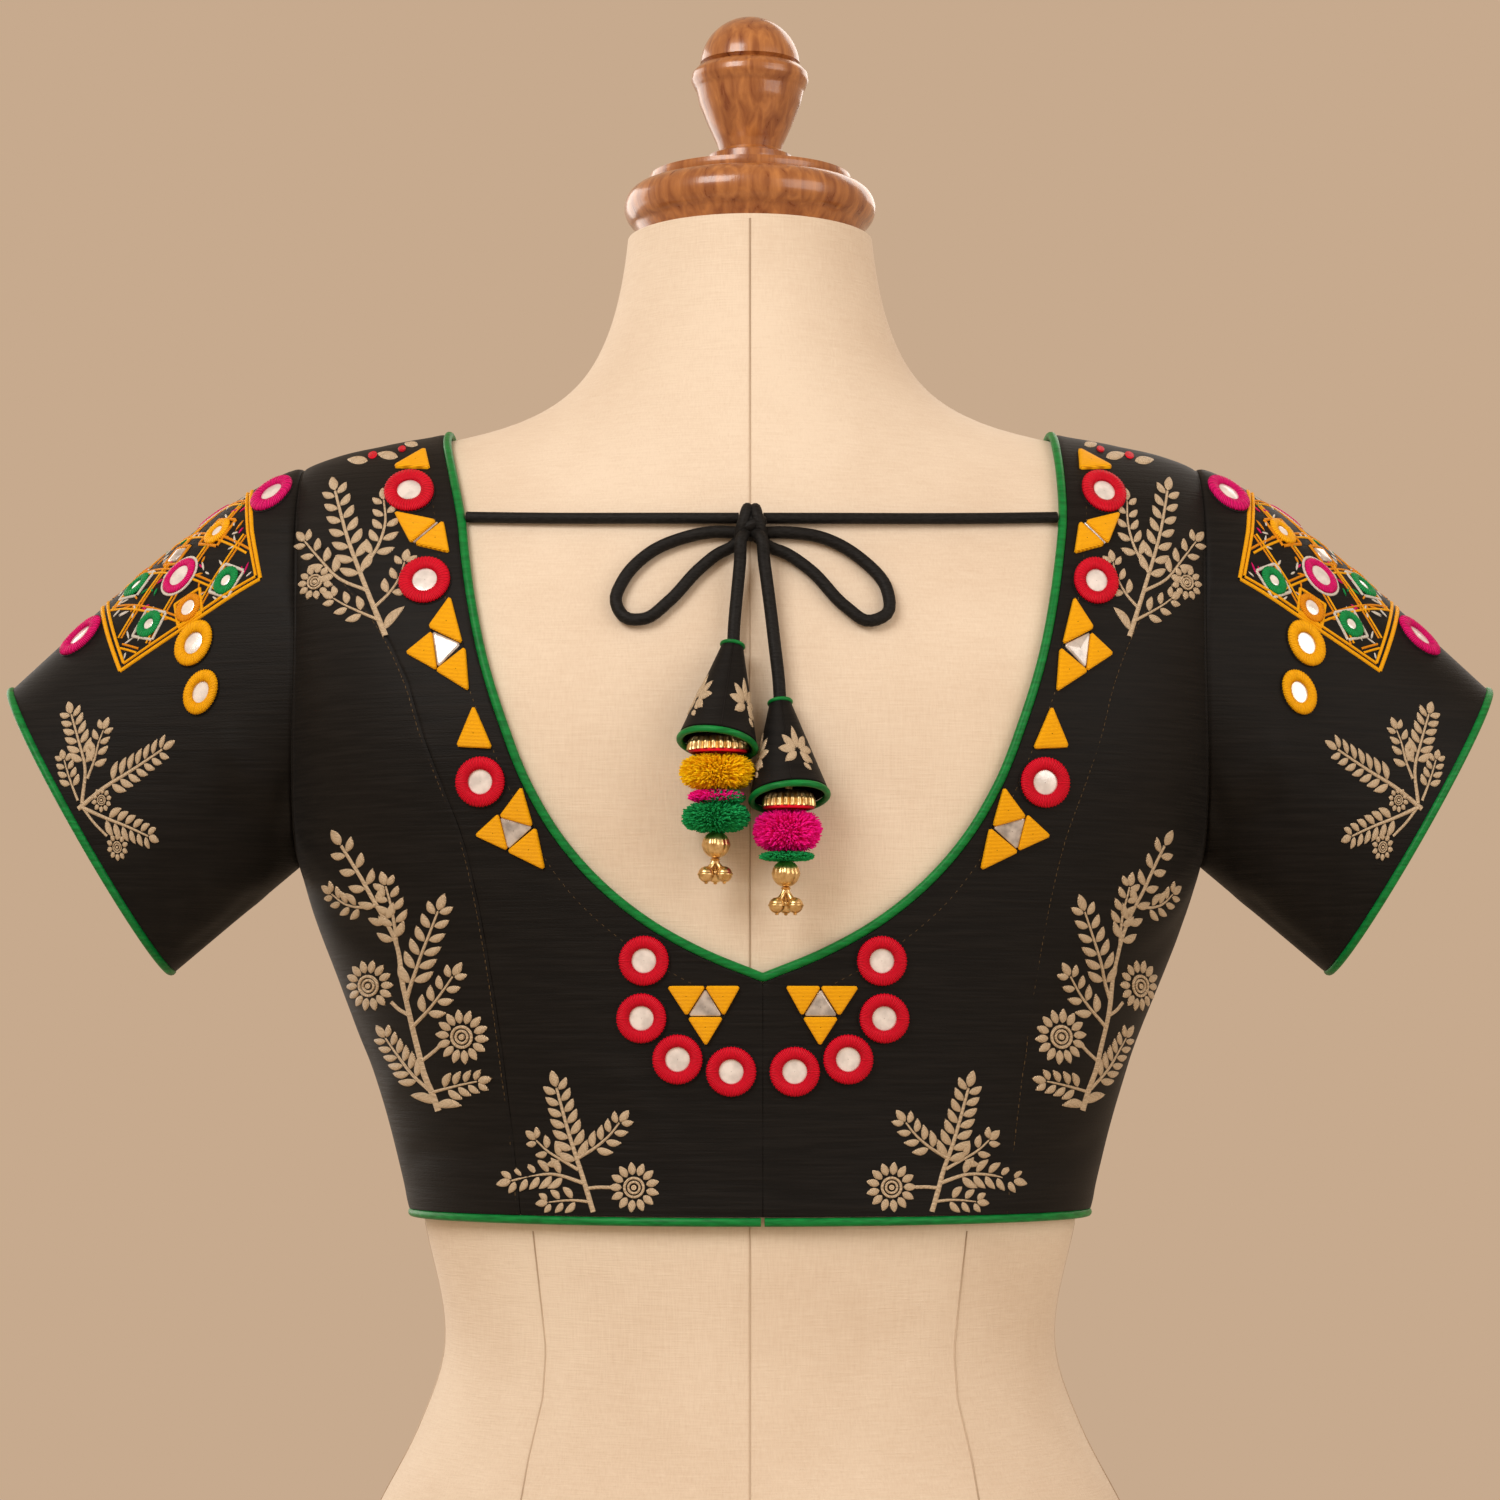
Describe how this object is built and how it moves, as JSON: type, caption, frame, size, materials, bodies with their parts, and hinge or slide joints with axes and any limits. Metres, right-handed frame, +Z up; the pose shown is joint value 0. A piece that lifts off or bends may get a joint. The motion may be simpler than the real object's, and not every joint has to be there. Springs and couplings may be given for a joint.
{
  "type": "silk blouse on a limbless dress form",
  "caption": "Short-sleeved saree blouse with a deep V back, bow tie cord with tassels and mirror applique, on a limbless dress form.",
  "frame": {"origin": "centre of the form's flat base", "axes": "+Z up, the blouse's back faces -Y, +X to the right seen from the back"},
  "size_m": [0.6042, 0.2669, 0.7249],
  "materials": {
    "black_silk": "dupion silk, soft sheen, with gold thread sprigs and mirror applique",
    "green_satin": "satin bias binding",
    "black_cord": "covered cord, matt",
    "cream_linen": "tightly stretched plain linen",
    "turned_wood": "turned and varnished",
    "gold_metal": "gilt, polished",
    "yellow_wool": "cut wool",
    "pink_wool": "cut wool",
    "green_wool": "cut wool"
  },
  "bodies": {
    "root": {"form_body": "cream_linen", "form_cap": "turned_wood", "form_finial": "turned_wood", "back_centre_left": "black_silk", "back_centre_right": "black_silk", "back_side_left": "black_silk", "back_side_right": "black_silk", "front": "black_silk", "sleeve_left": "black_silk", "sleeve_right": "black_silk", "piping_neck": "green_satin", "piping_hem": "green_satin", "piping_cuff_left": "green_satin", "piping_cuff_right": "green_satin", "tie_left": "black_cord", "tie_right": "black_cord", "loop_left": "black_cord", "loop_right": "black_cord", "end_left": "black_cord", "end_right": "black_cord", "knot": "black_cord", "latkan_left_cone": "black_silk", "latkan_left_rim": "green_satin", "latkan_left_cap": "gold_metal", "latkan_left_yellow": "yellow_wool", "latkan_left_tuft": "pink_wool", "latkan_left_green": "green_wool", "latkan_left_ball": "gold_metal", "latkan_left_bells": "gold_metal", "latkan_right_cone": "black_silk", "latkan_right_rim": "green_satin", "latkan_right_cap": "gold_metal", "latkan_right_pink": "pink_wool", "latkan_right_tuft": "green_wool", "latkan_right_ball": "gold_metal", "latkan_right_bells": "gold_metal"}
  },
  "joints": []
}
